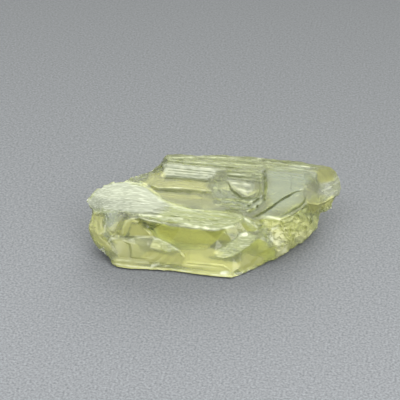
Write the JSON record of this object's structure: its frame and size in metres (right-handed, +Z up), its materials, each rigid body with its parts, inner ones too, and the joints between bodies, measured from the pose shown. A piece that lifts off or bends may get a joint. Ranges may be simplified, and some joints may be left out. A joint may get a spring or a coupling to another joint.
{
  "type": "hiddenite crystal",
  "caption": "Rough pale yellow-green gem crystal: a broken, see-through slab with a striated ridge, cleavage steps, a scooped front and a flat face to lie on.",
  "frame": {"origin": "middle of the footprint box, on the flat resting face", "axes": "+X along the crystal's long (c) axis towards its rounded tip, +Y from the scooped front to the back ridge, +Z up from the resting face"},
  "size_m": [0.031, 0.019, 0.0066],
  "materials": {
    "crystal": "clear and glassy on fresh breaks and cleavage faces, frosted along the striated ridge and the rough ends"
  },
  "bodies": {
    "root": {"hiddenite_crystal": "crystal"}
  },
  "joints": []
}
